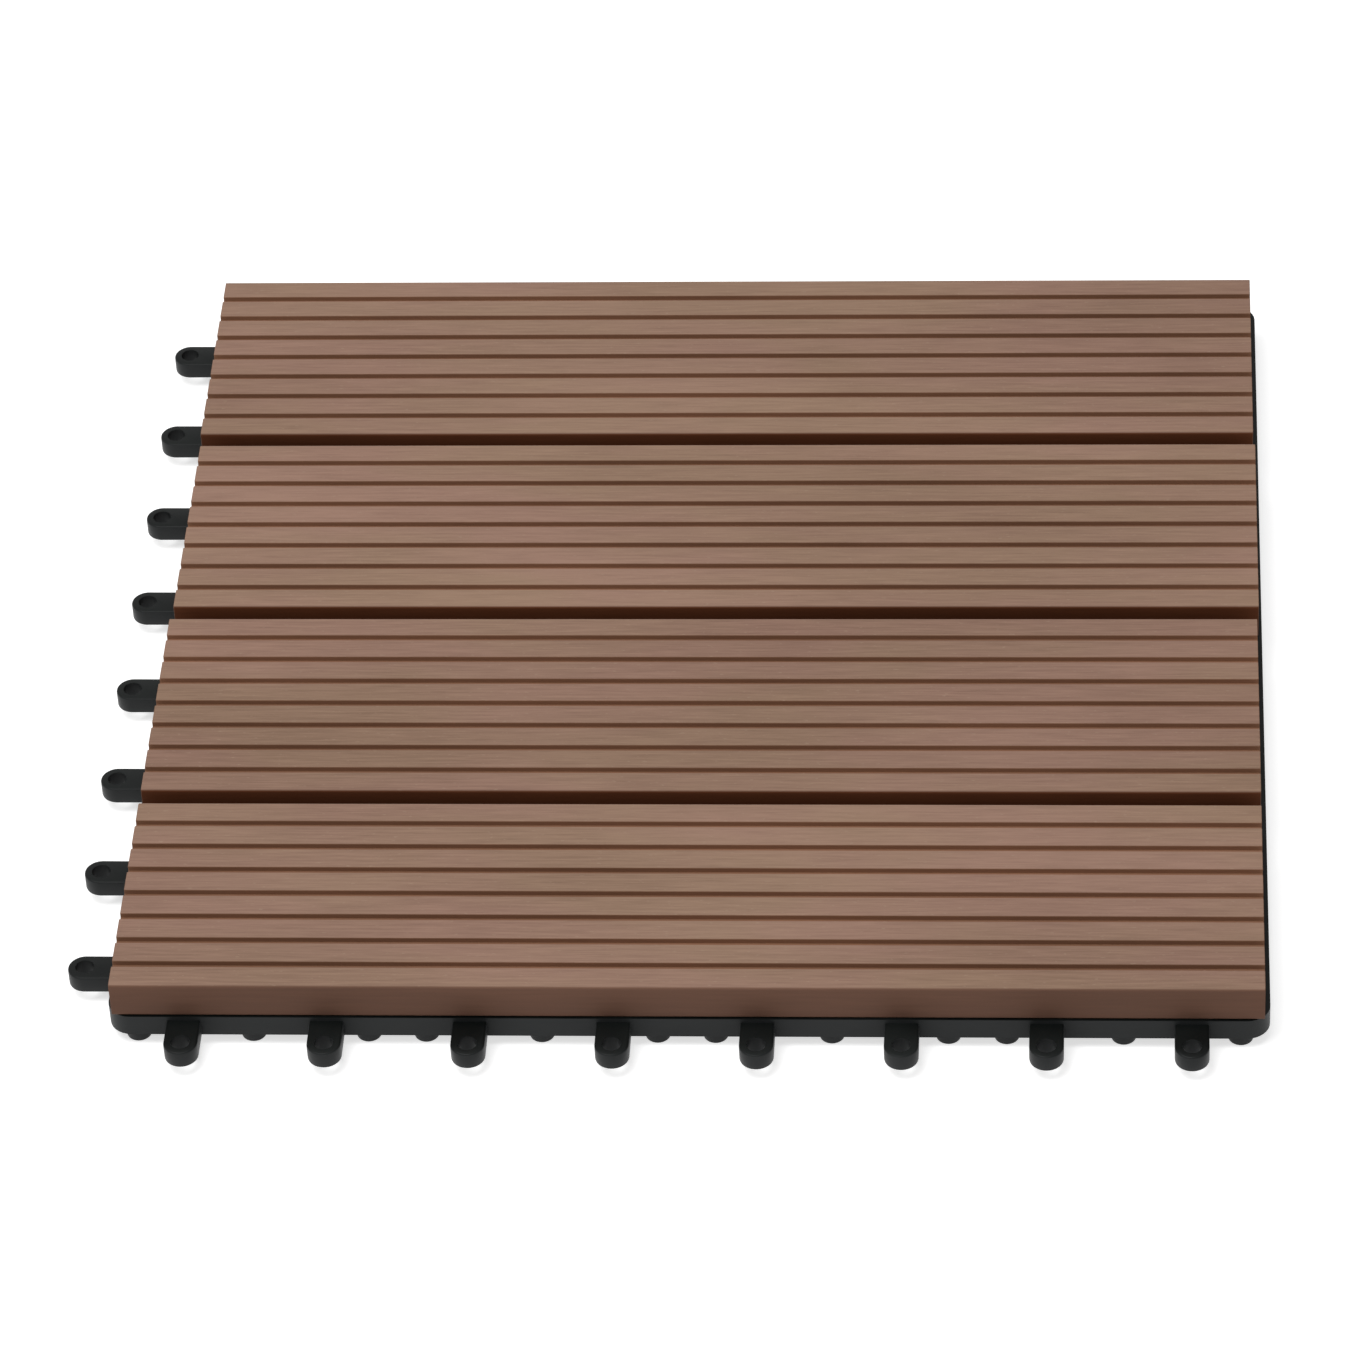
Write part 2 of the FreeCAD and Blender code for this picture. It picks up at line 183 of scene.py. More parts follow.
def make_board(node, screw_row):
    """One slat: a section cut from a plane, drawn out to its length and drilled for its screws."""
    low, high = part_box(node)
    long, width, thick = high - low
    centre = (low + high) / 2
    board = primitive(
        bpy.ops.mesh.primitive_plane_add,
        f"composite_{node}",
        (low.x, centre.y, centre.z),
        (thick, width, 1),
        turn=(0, QUARTER, 0),
        size=1,
    )
    edit(board)
    first = centre.y - (GROOVES - 1) / 2 * GROOVE_PITCH
    grooves = [first + number * GROOVE_PITCH for number in range(GROOVES)]
    floor_level = high.z - GROOVE_DEPTH
    slice_at((0, 1, 0), both_sides(grooves, GROOVE_WIDTH / 2))
    slice_at((0, 0, 1), [floor_level])

    def open_groove(face):
        place = face.calc_center_median()
        return place.z > floor_level and near_any(place.y, grooves, GROOVE_WIDTH / 2)

    def runs_long(edge):
        run = edge.verts[1].co - edge.verts[0].co
        return abs(run.y) < NEAR and abs(run.z) < NEAR

    def middle_of(edge):
        return (edge.verts[0].co + edge.verts[1].co) / 2

    def long_corner(edge):
        return runs_long(edge) and abs(abs(middle_of(edge).y - centre.y) - width / 2) < NEAR

    def groove_edge(edge, level):
        place = middle_of(edge)
        beside = near_any(place.y, grooves, GROOVE_WIDTH / 2 + NEAR)
        return runs_long(edge) and beside and abs(place.z - level) < NEAR

    def sawn_end(edge):
        return abs(abs(middle_of(edge).x - centre.x) - long / 2) < NEAR

    remove_chosen(board, open_groove)
    draw_out((long, 0, 0))
    clear_straight()
    round_off(board, long_corner, BOARD_EDGE_RADIUS, BOARD_EDGE_STEPS)
    round_off(board, lambda edge: groove_edge(edge, high.z), RIDGE_EDGE_RADIUS, RIDGE_EDGE_STEPS)
    round_off(
        board, lambda edge: groove_edge(edge, floor_level), GROOVE_FLOOR_RADIUS, GROOVE_FLOOR_STEPS
    )
    round_off(board, sawn_end, SAWN_EDGE, SAWN_EDGE_STEPS)
    close()
    for column in SCREW_COLUMNS:
        x, y = MIDDLE + column, MIDDLE + screw_row
        pilot = upright_rod("pilot", x, y, low.z - PILOT, low.z + PILOT_DEPTH, PILOT, PILOT_SIDES)
        combine(board, pilot, "DIFFERENCE")
    bpy.ops.object.shade_smooth_by_angle(angle=SMOOTH_BELOW)
    return board


class Finish:
    """A material and the few kinds of node that the finishes of this tile are made from."""

    def __init__(self, name):
        self.material = bpy.data.materials.new(name)
        self.material.use_nodes = True
        self.nodes = self.material.node_tree.nodes
        self.links = self.material.node_tree.links
        self.shader = self.nodes["Principled BSDF"]
        self.place = self.nodes.new("ShaderNodeTexCoord").outputs["Object"]

    def put(self, value, socket):
        """Link a socket to another, or set its value."""
        if isinstance(value, bpy.types.NodeSocket):
            self.links.new(value, socket)
        else:
            socket.default_value = value

    def give(self, **looks):
        """Give the shader its looks, each by the name of its socket with _ for a space."""
        for name, value in looks.items():
            self.put(value, self.shader.inputs[name.replace("_", " ")])

    def noise(self, stretch, detail=3.0, roughness=0.5, offset=(0, 0, 0)):
        """Noise with its own count of features to the metre along each axis."""
        mapping = self.nodes.new("ShaderNodeMapping")
        mapping.inputs["Location"].default_value = offset
        mapping.inputs["Scale"].default_value = stretch
        self.links.new(self.place, mapping.inputs["Vector"])
        noise = self.nodes.new("ShaderNodeTexNoise")
        noise.inputs["Scale"].default_value = 1.0
        noise.inputs["Detail"].default_value = detail
        noise.inputs["Roughness"].default_value = roughness
        self.links.new(mapping.outputs["Vector"], noise.inputs["Vector"])
        return noise.outputs["Fac"]

    def work_out(self, kind, first, second=0.0, third=0.0):
        """One step of arithmetic."""
        step = self.nodes.new("ShaderNodeMath")
        step.operation = kind
        for socket, value in zip(step.inputs, (first, second, third)):
            self.put(value, socket)
        return step.outputs["Value"]

    def ramp(self, value, low, high, bottom=0.0, top=1.0):
        """Stretch a range of values to another, held at both ends."""
        node = self.nodes.new("ShaderNodeMapRange")
        self.put(value, node.inputs["Value"])
        node.inputs["From Min"].default_value = low
        node.inputs["From Max"].default_value = high
        node.inputs["To Min"].default_value = bottom
        node.inputs["To Max"].default_value = top
        return node.outputs["Result"]

    def blend(self, share, first, second, kind="MIX"):
        """Mix two colours."""
        node = self.nodes.new("ShaderNodeMix")
        node.data_type = "RGBA"
        node.blend_type = kind
        self.put(share, node.inputs["Factor"])
        colours = [s for s in node.inputs if s.type == "RGBA"]
        self.put(first, colours[0])
        self.put(second, colours[1])
        return next(s for s in node.outputs if s.type == "RGBA")

    def axes(self, vector):
        """The three parts of a vector."""
        node = self.nodes.new("ShaderNodeSeparateXYZ")
        self.links.new(vector, node.inputs["Vector"])
        return node.outputs["X"], node.outputs["Y"], node.outputs["Z"]

    def facing(self):
        """How far the surface faces along each axis."""
        return self.axes(self.nodes.new("ShaderNodeNewGeometry").outputs["Normal"])

    def relief(self, height, depth, strength=1.0, under=None):
        """Bump of a given depth in metres, laid over another."""
        node = self.nodes.new("ShaderNodeBump")
        node.inputs["Distance"].default_value = depth
        node.inputs["Strength"].default_value = strength
        self.put(height, node.inputs["Height"])
        if under is not None:
            self.links.new(under, node.inputs["Normal"])
        return node.outputs["Normal"]


boards = [make_board(node, row) for node, row in zip(SLAT_NODES, MODULE_CENTRES)]

RIDGE_PALE = (0.362, 0.229, 0.166, 1)
RIDGE_DARK = (0.246, 0.150, 0.107, 1)
ROSY = (1.02, 0.985, 1.015, 1)
TAWNY = (0.99, 1.012, 0.97, 1)
FLECK = (0.42, 0.30, 0.22, 1)
SKIN = (0.190, 0.099, 0.067, 1)
GROOVE_SKIN_BOUNCE_LIT = (0.240, 0.120, 0.070, 1)
GAP_SHADE_SKIN = (0.118, 0.038, 0.016, 1)
SAWN = (0.215, 0.132, 0.098, 1)
STREAKS = (55, 1300, 1300)
FINE_STREAKS = (160, 4200, 4200)
PATCHES = (7, 22, 22)
FLECKS = (520, 1500, 1500)
HUES = (14, 32, 32)
SAW_MARKS = (2500, 300, 90)
STREAK_SHARE = 0.9
FINE_SHARE = 0.35
PATCH_SHARE = 0.7
BOARD_SHARE = 0.18
FLECK_SHARE = (0.0, 0.35)
TONE_RANGE = (0.80, 1.30)
HUE_RANGE = (0.38, 0.62)
FLECK_RANGE = (0.68, 0.74)
MID_RANGE = (0.3, 0.7)
SAW_RANGE = (0.35, 0.65)
LINE_TONES = (0.93, 1.07)
PATCH_TONES = (0.85, 1.15)
TOP_FACING = (0.55, 0.9)
SIDE_FACING = (0.6, 0.9)
END_FACING = (0.7, 0.9)
BOARD_PITCH = 75.3 * MM
BOARD_LEAD = 1 * MM
BRUSHED_DEPTHS = (0.45 * MM, 0.05 * MM)
GROOVE_BOUNCE_DEPTHS = (2.6 * MM, 1.5 * MM)
GROOVE_BOUNCE_FROM_EDGE = (0.9 * MM, 1.5 * MM)
GAP_SHADE_FROM_EDGE = (0.5 * MM, 1.5 * MM)
COMPOSITE_ROUGHNESS = (0.55, 0.72)
GRAIN_DEPTH, GRAIN_STRENGTH = 0.08 * MM, 0.7
PIT_DEPTH, PIT_STRENGTH = 0.04 * MM, 0.4
SAW_DEPTH, SAW_STRENGTH = 0.10 * MM, 0.6

slat_low, slat_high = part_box("slat_1")
last_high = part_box("slat_4")[1]
half_board = (slat_high.y - slat_low.y) / 2
tile_middle = (slat_low.y + last_high.y) / 2
tile_half = (last_high.y - slat_low.y) / 2

composite = Finish("brushed_composite")
facing_x, facing_y, facing_z = composite.facing()
_, place_y, place_z = composite.axes(composite.place)
streaks = composite.noise(STREAKS, detail=4.0, roughness=0.6)
fine_streaks = composite.noise(FINE_STREAKS, detail=2.0, offset=(3, 1, 2))
patches = composite.noise(PATCHES, detail=2.0, offset=(1, 5, 0))
flecks = composite.noise(FLECKS, detail=1.0, offset=(7, 2, 4))
hues = composite.noise(HUES, detail=2.0, offset=(4, 4, 9))
saw_marks = composite.noise(SAW_MARKS, detail=3.0, offset=(0, 4, 1))

# Each board has a tone of its own, drawn by its number across the tile.
from_edge = composite.work_out("SUBTRACT", place_y, slat_low.y - BOARD_LEAD)
board_number = composite.work_out("FLOOR", composite.work_out("DIVIDE", from_edge, BOARD_PITCH))
own_tone = composite.nodes.new("ShaderNodeTexWhiteNoise")
own_tone.noise_dimensions = "1D"
composite.put(board_number, own_tone.inputs["W"])

# The brushed tops of the ridges: streaks, patches and pale flecks of wood, from rosy to tawny.
tone = composite.work_out("MULTIPLY", fine_streaks, FINE_SHARE)
tone_parts = (
    (streaks, STREAK_SHARE),
    (patches, PATCH_SHARE),
    (own_tone.outputs["Value"], BOARD_SHARE),
)
for part, share in tone_parts:
    tone = composite.work_out("MULTIPLY_ADD", part, share, tone)
brushed = composite.blend(composite.ramp(tone, *TONE_RANGE), RIDGE_DARK, RIDGE_PALE)
hue = composite.blend(composite.ramp(hues, *HUE_RANGE), ROSY, TAWNY)
brushed = composite.blend(1.0, brushed, hue, kind="MULTIPLY")
brushed = composite.blend(composite.ramp(flecks, *FLECK_RANGE, *FLECK_SHARE), brushed, FLECK)
ridge_level = composite.ramp(place_z, *(slat_high.z - depth for depth in BRUSHED_DEPTHS))
brushed_share = composite.work_out("MULTIPLY", ridge_level, composite.ramp(facing_z, *TOP_FACING))

# The skin that the die leaves, with painted light: the grooves are painted redder and brighter as
# painted bounce light, and the sides between two boards darkest as painted shade in the gaps.
within_pitch = composite.work_out("WRAP", from_edge, BOARD_PITCH, 0.0)
off_centre = composite.work_out("SUBTRACT", within_pitch, BOARD_LEAD + half_board)
across_board = composite.work_out("ABSOLUTE", off_centre)
# Painted bounce light: the inside of each board near its top, down to the groove floors.
groove_bounce_share = composite.work_out(
    "MULTIPLY",
    composite.ramp(place_z, *(slat_high.z - depth for depth in GROOVE_BOUNCE_DEPTHS)),
    composite.ramp(across_board, *(half_board - inset for inset in GROOVE_BOUNCE_FROM_EDGE)),
)
# Painted shade: the sides that face another board across a gap, not the tile's outer sides.
off_middle = composite.work_out("ABSOLUTE", composite.work_out("SUBTRACT", place_y, tile_middle))
sideways = composite.ramp(composite.work_out("ABSOLUTE", facing_y), *SIDE_FACING)
gap_shade_share = composite.ramp(off_middle, *(tile_half - inset for inset in GAP_SHADE_FROM_EDGE))
gap_shade_share = composite.work_out("MULTIPLY", gap_shade_share, sideways)
ungrooved = composite.work_out("SUBTRACT", 1.0, groove_bounce_share)
gap_shade_share = composite.work_out("MULTIPLY", gap_shade_share, ungrooved)
die_lines = composite.ramp(streaks, *MID_RANGE, *LINE_TONES)
skin_tone = composite.ramp(patches, *MID_RANGE, *PATCH_TONES)
skin_tone = composite.work_out("MULTIPLY", skin_tone, die_lines)
# The grooves take their painted bounce light here, over the die skin's own colour.
skin_and_painted_light = composite.blend(groove_bounce_share, SKIN, GROOVE_SKIN_BOUNCE_LIT)
# The sides between two boards take their painted shade here.
skin_and_painted_light = composite.blend(gap_shade_share, skin_and_painted_light, GAP_SHADE_SKIN)
skin_and_painted_light = composite.blend(1.0, skin_and_painted_light, skin_tone, kind="MULTIPLY")

# The sawn ends, and the relief of the grain, the pits of the flecks and the saw's marks.
surface = composite.blend(brushed_share, skin_and_painted_light, brushed)
end_share = composite.ramp(composite.work_out("ABSOLUTE", facing_x), *END_FACING)
sawn = composite.blend(composite.ramp(saw_marks, *SAW_RANGE), SAWN, SKIN)
grain_height = composite.work_out("ADD", streaks, fine_streaks)
grain_height = composite.work_out("MULTIPLY", grain_height, brushed_share)
saw_height = composite.work_out("MULTIPLY", saw_marks, end_share)
grain = composite.relief(grain_height, GRAIN_DEPTH, GRAIN_STRENGTH)
pits = composite.relief(flecks, PIT_DEPTH, PIT_STRENGTH, under=grain)
composite.give(
    Base_Color=composite.blend(end_share, surface, sawn),
    Roughness=composite.ramp(streaks, *MID_RANGE, *COMPOSITE_ROUGHNESS),
    Specular_IOR_Level=0.10,
    Normal=composite.relief(saw_height, SAW_DEPTH, SAW_STRENGTH, under=pits),
)

for board, node in zip(boards, SLAT_NODES):
    board.data.materials.append(composite.material)
    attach(board, "root")
    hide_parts(node)

# The lattice of the base: rim, cross ribs in line with the feet, rails under the slats and the
# walls round the notches. It is injection moulded in black polypropylene, in one shot with the
# tongues, feet, bosses and pegs that follow.
FIELD = 300 * MM
RIM = 2 * MM
RIB = 1.6 * MM
FOOT_HEIGHT = 3.4 * MM
BASE_HEIGHT = 9.5 * MM
CORNER_RADIUS, CORNER_STEPS = 6 * MM, 8
NOTCH_WIDTH = 9.8 * MM
NOTCH_END = 138.4 * MM
NOTCH_WALL = 1.5 * MM
NOTCH_ROOF = 8.5 * MM
FOOT_SHARE = 0.4
EDGE_RAIL = 1.9 * MODULE
TONGUE_SHARE = 0.495
TONGUES = 8
FOOT_PLACES = [c + k * FOOT_SHARE * MODULE for c in MODULE_CENTRES for k in (-1, 0, 1)]
RAIL_PLACES = [-EDGE_RAIL] + [k / 2 * MODULE for k in range(-3, 4)] + [EDGE_RAIL]
TONGUE_PLACES = [(k - (TONGUES - 1) / 2) * TONGUE_SHARE * MODULE for k in range(TONGUES)]

lattice = primitive(
    bpy.ops.mesh.primitive_plane_add,
    "base_mould",
    (MIDDLE, MIDDLE, FOOT_HEIGHT),
    (BASE, BASE, 1),
    size=1,
)
edit(lattice, "VERT")
bpy.ops.mesh.select_all(action="SELECT")
bpy.ops.mesh.bevel(offset=CORNER_RADIUS, segments=CORNER_STEPS, affect="VERTICES")
bpy.ops.mesh.select_mode(type="FACE")
bpy.ops.mesh.select_all(action="SELECT")
bpy.ops.mesh.inset(thickness=RIM)
housing = NOTCH_WIDTH / 2 + NOTCH_WALL
inner_wall = NOTCH_END - NOTCH_WALL
arc_centre = BASE / 2 - CORNER_RADIUS
cuts = [inner_wall] + both_sides(TONGUE_PLACES, housing)
slice_at((1, 0, 0), [MIDDLE + cut for cut in cuts + both_sides(FOOT_PLACES, RIB / 2)])
slice_at((0, 1, 0), [MIDDLE + cut for cut in cuts + both_sides(RAIL_PLACES, RIB / 2)])


def is_cell(face):
    """Whether a face is an open cell between walls."""
    spot = face.calc_center_median()
    x, y = spot.x - MIDDLE, spot.y - MIDDLE
    past_arc_centre = [max(abs(c) - arc_centre, 0) for c in (x, y)]
    rim = math.hypot(*past_arc_centre) > CORNER_RADIUS - RIM
    rib = near_any(x, FOOT_PLACES, RIB / 2) or near_any(y, RAIL_PLACES, RIB / 2)
    back = y > inner_wall and near_any(x, TONGUE_PLACES, housing)
    right = x > inner_wall and near_any(y, TONGUE_PLACES, housing)
    return not (rim or rib or back or right)


remove_chosen(lattice, is_cell)
clear_straight()
draw_out((0, 0, BASE_HEIGHT - FOOT_HEIGHT))
close()

# The looped tongues on the front and left edges. Each is a flat arm with a round eyelet at its
# end, moulded with the rim, and its bore is made to drop over a peg like those of the notches.
TONGUE_WIDTH = 8.8 * MM
TONGUE_THICK = 4.9 * MM
TONGUE_EDGE, TONGUE_EDGE_STEPS = 0.5 * MM, 3
LOOP_CENTRE = 156.6 * MM
LOOP_BORE = 5 * MM
EYELET_SIDES = 48
BORE_SIDES = 40
SHARP = math.radians(60)
# Two faces that would lie in one plane are kept this far apart.
SKIN_OFF = 0.02 * MM
TONGUE_ROWS = [(p, 0, 0) for p in TONGUE_PLACES] + [(0, p, -QUARTER) for p in TONGUE_PLACES]


def spread(piece, name, places):
    """Put copies in the piece's stead, each turned about the tile's middle and then moved."""
    copies = []
    for x, y, turn in places:
        copy = piece.copy()
        copy.data = piece.data.copy()
        copy.name = name
        bpy.context.collection.objects.link(copy)
        pick(copy)
        copy.rotation_euler.z = turn
        copy.location = (MIDDLE, MIDDLE, 0)
        copy.location += Vector((x, y, 0))
        bpy.ops.object.transform_apply(location=True, rotation=True, scale=True)
        copies.append(copy)
    bpy.data.objects.remove(piece)
    return copies


def join(pieces):
    """Make several meshes one object."""
    pick(*pieces)
    bpy.ops.object.join()
    return pieces[0]


def box_between(name, low, high):
    """A box between two corners."""
    low, high = Vector(low), Vector(high)
    return primitive(
        bpy.ops.mesh.primitive_cube_add, name, (low + high) / 2, high - low, size=1
    )


def merge_close(piece):
    """Merge the points that the joins and cuts left on top of each other."""
    edit(piece)
    bpy.ops.mesh.select_all(action="SELECT")
    bpy.ops.mesh.remove_doubles(threshold=NEAR / 4)
    close()


def tongue_edge(edge):
    """Whether an edge runs round the top or the underside of a tongue."""
    level = abs(edge.verts[0].co.z - edge.verts[1].co.z) < NEAR
    return level and edge.is_manifold and edge.calc_face_angle() > SHARP


tongue_low = FOOT_HEIGHT + SKIN_OFF
tongue_high = FOOT_HEIGHT + TONGUE_THICK
tongue = box_between(
    "tongue",
    (-TONGUE_WIDTH / 2, -LOOP_CENTRE, tongue_low),
    (TONGUE_WIDTH / 2, -(BASE / 2 - RIM / 2), tongue_high),
)
eyelet = upright_rod(
    "eyelet", 0, -LOOP_CENTRE, tongue_low, tongue_high, TONGUE_WIDTH, EYELET_SIDES
)
combine(tongue, eyelet, "UNION")
edit(tongue, "EDGE")
clear_straight()
round_off(tongue, tongue_edge, TONGUE_EDGE, TONGUE_EDGE_STEPS)
close()
bore = upright_rod("bore", 0, -LOOP_CENTRE, 0, 2 * tongue_high, LOOP_BORE, BORE_SIDES)
combine(tongue, bore, "DIFFERENCE")
tongues = spread(tongue, "tongue_copy", TONGUE_ROWS)

# The feet and screw bosses. Round feet stand under the rim in line with the cross ribs, and under
# the slats inside. Under the outer slats' ends they are bosses that take the screws.
FOOT = 6.5 * MM
FOOT_ROW = 144.6 * MM
FOOT_EDGE = 0.6 * MM
FOOT_ROOT = 0.6 * MM
ROD_EDGE_STEPS = 3
BOSS = 10.4 * MM
BOSS_SIDES = 40
SCREW_PLACES = [(x, y, 0) for x in SCREW_COLUMNS for y in MODULE_CENTRES]
FOOT_ROWS = [(p, s * FOOT_ROW, 0) for p in FOOT_PLACES for s in (-1, 1)]
FOOT_ROWS += [(s * FOOT_ROW, p, 0) for p in FOOT_PLACES[1:-1] for s in (-1, 1)]
FOOT_ROWS += [(x, y, 0) for x in MODULE_CENTRES[1:3] for y in MODULE_CENTRES]


def round_lower_edge(piece, level, radius, steps=ROD_EDGE_STEPS):
    """Round the edge of a rod at its lower end."""
    edit(piece, "EDGE")
    round_off(
        piece, lambda edge: all(abs(v.co.z - level) < NEAR for v in edge.verts), radius, steps
    )
    close()


foot = upright_rod("foot", 0, 0, 0, FOOT_HEIGHT + FOOT_ROOT, FOOT)
round_lower_edge(foot, 0, FOOT_EDGE)
boss = upright_rod("boss", 0, 0, 0, BASE_HEIGHT - SKIN_OFF, BOSS, BOSS_SIDES)
round_lower_edge(boss, 0, FOOT_EDGE)
feet = spread(foot, "foot_copy", FOOT_ROWS)
bosses = spread(boss, "boss_copy", SCREW_PLACES)
combine(lattice, join(feet + bosses), "UNION")

# The notches on the back and right edges, with the pegs that hang from their roofs, and the
# stepped holes of the screw bosses, which the mould's pins leave open from below.
PEG = 4.4 * MM
PEG_CENTRE = 143.4 * MM
PEG_LEAD = 0.6 * MM
PEG_ROOT = RIM / 4
COUNTERBORE = 7.8 * MM
SHANK_HOLE = 3.9 * MM
HOLE_SIDES = 40
SEAT = 6.5 * MM
BELOW = -1 * MM
UPWARD = 0.9
PEG_ROWS = [(p, PEG_CENTRE, 0) for p in TONGUE_PLACES]
PEG_ROWS += [(PEG_CENTRE, p, 0) for p in TONGUE_PLACES]

notch = box_between(
    "notch",
    (-NOTCH_WIDTH / 2, NOTCH_END, BELOW),
    (NOTCH_WIDTH / 2, FIELD / 2, NOTCH_ROOF),
)
cutters = spread(notch, "notch_copy", TONGUE_ROWS)
hole = upright_rod("hole", 0, 0, BELOW, SEAT, COUNTERBORE, HOLE_SIDES)
edit(hole)
choose(hole, "FACE", lambda face: face.normal.z > UPWARD)
bpy.ops.mesh.inset(thickness=(COUNTERBORE - SHANK_HOLE) / 2)
bpy.ops.mesh.extrude_region_move(
    TRANSFORM_OT_translate={"value": (0, 0, BASE_HEIGHT - SEAT + RIM)}
)
close()
cutters += spread(hole, "hole_copy", SCREW_PLACES)
combine(lattice, join(cutters), "DIFFERENCE")
peg = upright_rod("peg", 0, 0, FOOT_HEIGHT, NOTCH_ROOF + PEG_ROOT, PEG)
round_lower_edge(peg, FOOT_HEIGHT, PEG_LEAD)
pegs = spread(peg, "peg_copy", PEG_ROWS)
combine(lattice, join(pegs + tongues), "UNION")
merge_close(lattice)
bpy.ops.object.shade_smooth_by_angle(angle=SMOOTH_BELOW)

# The black polypropylene has two copies of one colour. The flat tops are painted darker as painted
# shade, and the upright faces are painted lighter as painted bounce light from the floor. The flow
# noise gives real wear in patches on both.
PLASTIC_TOP_SHADED = (0.0024, 0.0034, 0.0032, 1)
PLASTIC_TOP_SHADED_WORN = (0.0060, 0.0078, 0.0074, 1)
PLASTIC_SIDE_BOUNCE_LIT = (0.0210, 0.0228, 0.0232, 1)
PLASTIC_SIDE_BOUNCE_LIT_WORN = (0.0300, 0.0320, 0.0324, 1)
FLOW = (35, 35, 60)
SPARK = (2600, 2600, 2600)
SPARK_DEPTH, SPARK_STRENGTH = 0.02 * MM, 0.5
WEAR_RANGE = (0.35, 0.7)
FLAT_FACING = (0.4, 0.8)
PLASTIC_ROUGHNESS = (0.38, 0.52)

plastic = Finish("moulded_polypropylene")
flow = plastic.noise(FLOW, detail=3.0)
spark = plastic.noise(SPARK, detail=2.0, offset=(1, 2, 3))
wear = plastic.ramp(flow, *WEAR_RANGE)
# Painted bounce light: 1 on upright faces and 0 on flat ones.
bounce_lit_share = plastic.ramp(
    plastic.work_out("ABSOLUTE", plastic.facing()[2]), *FLAT_FACING, bottom=1.0, top=0.0
)
# The painted shade colour for flat tops and the painted bounce light colour for upright faces,
# each with its real wear.
shaded_top = plastic.blend(wear, PLASTIC_TOP_SHADED, PLASTIC_TOP_SHADED_WORN)
bounce_lit_side = plastic.blend(wear, PLASTIC_SIDE_BOUNCE_LIT, PLASTIC_SIDE_BOUNCE_LIT_WORN)
plastic.give(
    Base_Color=plastic.blend(bounce_lit_share, shaded_top, bounce_lit_side),
    Roughness=plastic.ramp(flow, *MID_RANGE, *PLASTIC_ROUGHNESS),
    Specular_IOR_Level=0.14,
    Normal=plastic.relief(spark, SPARK_DEPTH, SPARK_STRENGTH),
)
lattice.data.materials.clear()
lattice.data.materials.append(plastic.material)
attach(lattice, "root")
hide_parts("base_grid")

# The slat screws. Eight zinc plated pan head screws with a cross recess, driven up through the
# bosses into the slats, so that only their heads show, deep in the counterbores of the underside.
HEAD = 7 * MM
HEAD_HEIGHT = 2.4 * MM
HEAD_LOW = SEAT - HEAD_HEIGHT
HEAD_EDGE, HEAD_EDGE_STEPS = 1.1 * MM, 5
HEAD_SIDES = 40
CORE = 2.5 * MM
CORE_ROOT = NEAR * 20
SCREW_TIP = BASE_HEIGHT + 6.5 * MM
POINT = 1.6 * MM
POINT_SHARE = 0.12
THREAD_PITCH = 1.3 * MM
THREAD_TURNS = 5
THREAD_STEPS = 24
# One side more than the thread has steps to a turn, so that their edges don't fall together.
CORE_SIDES = THREAD_STEPS + 1
THREAD_CENTRE = CORE / 2 + 0.1 * MM
THREAD_SECTION = (0.35 * MM, 0.30 * MM, 1)
RECESS = 3.6 * MM
RECESS_WING = 0.9 * MM
RECESS_DEPTH = 1.4 * MM
SMOOTH_THREAD_BELOW = math.radians(35)

head = upright_rod("screw_head", 0, 0, HEAD_LOW, SEAT, HEAD, HEAD_SIDES)
round_lower_edge(head, HEAD_LOW, HEAD_EDGE, HEAD_EDGE_STEPS)
wing = (RECESS / 2, RECESS_WING / 2)
for across, deep in (wing, wing[::-1]):
    recess = box_between(
        "recess",
        (-across, -deep, HEAD_LOW - RECESS_DEPTH),
        (across, deep, HEAD_LOW + RECESS_DEPTH),
    )
    combine(head, recess, "DIFFERENCE")
core = upright_rod("screw_core", 0, 0, SEAT - CORE_ROOT, SCREW_TIP - POINT, CORE, CORE_SIDES)
edit(core)
choose(core, "FACE", lambda face: face.normal.z > UPWARD)
bpy.ops.mesh.extrude_region_move(TRANSFORM_OT_translate={"value": (0, 0, POINT)})
bpy.ops.transform.resize(value=(POINT_SHARE, POINT_SHARE, 1))
close()
combine(head, core, "UNION")
thread = primitive(
    bpy.ops.mesh.primitive_circle_add,
    "thread",
    (THREAD_CENTRE, 0, SEAT + THREAD_PITCH),
    THREAD_SECTION,
    turn=(QUARTER, 0, 0),
    vertices=3,
    radius=1,
)
helix = thread.modifiers.new("helix", "SCREW")
helix.screw_offset = THREAD_PITCH
helix.iterations = THREAD_TURNS
helix.steps = THREAD_STEPS
helix.render_steps = THREAD_STEPS
bpy.ops.object.modifier_apply(modifier=helix.name)
edit(thread, "EDGE")
bpy.ops.mesh.select_all(action="DESELECT")
bpy.ops.mesh.select_non_manifold()
bpy.ops.mesh.fill()
bpy.ops.mesh.select_all(action="SELECT")
bpy.ops.mesh.normals_make_consistent(inside=False)
close()
combine(head, thread, "UNION")
merge_close(head)
edit(head)
clear_straight()
bpy.ops.mesh.quads_convert_to_tris(ngon_method="BEAUTY")
close()
screw_set = join(spread(head, "slat_screw_set", SCREW_PLACES))
bpy.ops.object.shade_smooth_by_angle(angle=SMOOTH_THREAD_BELOW)

ZINC_DULL = (0.42, 0.42, 0.40, 1)
ZINC_BRIGHT = (0.66, 0.65, 0.60, 1)
BLOOM = (900, 900, 900)
BLOOM_DEPTH, BLOOM_STRENGTH = 0.01 * MM, 0.5
ZINC_ROUGHNESS = (0.28, 0.5)

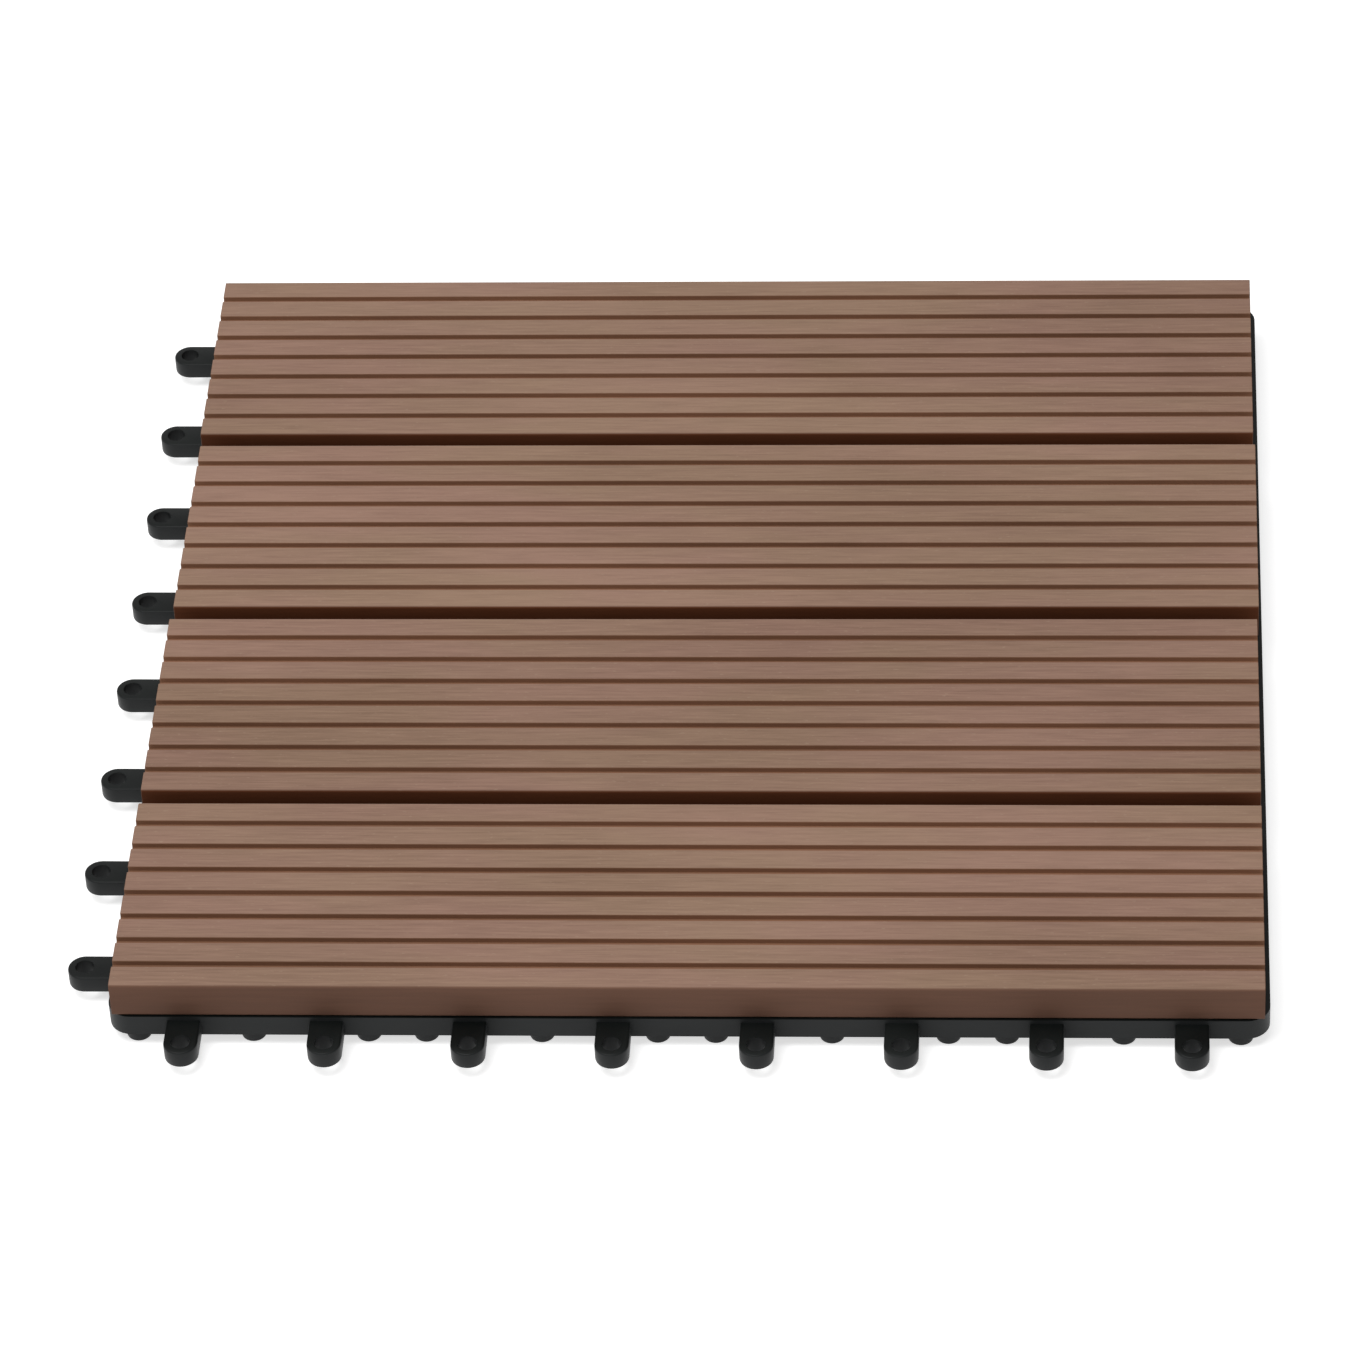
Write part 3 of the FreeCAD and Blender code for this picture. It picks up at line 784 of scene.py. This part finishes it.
steel = Finish("zinc_plate")
bloom = steel.noise(BLOOM, detail=3.0)
steel.give(
    Base_Color=steel.blend(bloom, ZINC_DULL, ZINC_BRIGHT),
    Metallic=1.0,
    Roughness=steel.ramp(bloom, *MID_RANGE, *ZINC_ROUGHNESS),
    Normal=steel.relief(bloom, BLOOM_DEPTH, BLOOM_STRENGTH),
)
screw_set.data.materials.clear()
screw_set.data.materials.append(steel.material)
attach(screw_set, "root")
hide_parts("slat_screws")

# The floor, a plain white studio sweep that the tile rests on. It keeps the tile's shadow, and is
# lifted to white only for the rays that see it directly.
WHITE = (1, 1, 1, 1)
PAPER = (0.8, 0.8, 0.8, 1)
PAPER_ROUGHNESS = 0.9
PAPER_LIFT = (0.0, 0.65)
FLOOR_SIZE = 12


def seen_directly(tree):
    """1 for the rays of the camera and of mirrors and glass, and 0 for the rays of the light."""
    path = tree.nodes.new("ShaderNodeLightPath")
    share = path.outputs["Is Camera Ray"]
    for kind in ("Is Glossy Ray", "Is Transmission Ray"):
        either = tree.nodes.new("ShaderNodeMath")
        either.operation = "MAXIMUM"
        tree.links.new(share, either.inputs[0])
        tree.links.new(path.outputs[kind], either.inputs[1])
        share = either.outputs["Value"]
    return share


def strength(tree, low, high):
    """One strength for the rays of the light, and another for the rays that see directly."""
    node = tree.nodes.new("ShaderNodeMapRange")
    tree.links.new(seen_directly(tree), node.inputs["Value"])
    node.inputs["To Min"].default_value = low
    node.inputs["To Max"].default_value = high
    return node.outputs["Result"]


floor = primitive(
    bpy.ops.mesh.primitive_plane_add, "studio_floor", (0, 0, -NEAR), (1, 1, 1), size=FLOOR_SIZE
)
paper = Finish("studio_paper")
paper.give(
    Base_Color=PAPER,
    Roughness=PAPER_ROUGHNESS,
    Specular_IOR_Level=0.0,
    Emission_Color=WHITE,
    Emission_Strength=strength(paper.material.node_tree, *PAPER_LIFT),
)
floor.data.materials.append(paper.material)

# The light, one wide soft lamp overhead and an even white room.
ROOM_STRENGTH = (0.30, 1.0)
LAMP_PLACE = (-0.5, -0.3, 1.9)
LAMP_SIZE = 1.4
LAMP_WATTS = 27.5

world = bpy.data.worlds.new("studio_room")
bpy.context.scene.world = world
world.use_nodes = True
room = world.node_tree.nodes["Background"]
room.inputs["Color"].default_value = WHITE
world.node_tree.links.new(strength(world.node_tree, *ROOM_STRENGTH), room.inputs["Strength"])

bpy.ops.object.select_all(action="DESELECT")
bpy.ops.object.light_add(type="AREA", location=LAMP_PLACE)
lamp = bpy.context.active_object
lamp.name = "overhead_softbox"
lamp.data.shape = "SQUARE"
lamp.data.size = LAMP_SIZE
lamp.data.energy = LAMP_WATTS
lamp.rotation_euler = (Vector((0, 0, 0)) - lamp.location).to_track_quat("-Z", "Y").to_euler()

# The camera, at the photograph's viewpoint, with a longer lens that brings one tile up to full
# size in the frame.
CAMERA_PLACE = (0.118, -1.384, 1.187)
CAMERA_AIM = (-0.002, -0.008, 0.008)
CAMERA_ROLL = math.radians(-3.2)
LENS = 178
FILM_WIDTH = 36

bpy.ops.object.camera_add(location=CAMERA_PLACE)
camera = bpy.context.active_object
camera.data.lens = LENS
camera.data.sensor_width = FILM_WIDTH
level_aim = (Vector(CAMERA_AIM) - camera.location).to_track_quat("-Z", "Y")
camera.rotation_euler = (level_aim @ Quaternion((0, 0, 1), CAMERA_ROLL)).to_euler()
bpy.context.scene.camera = camera
bpy.context.scene.view_settings.view_transform = "Standard"
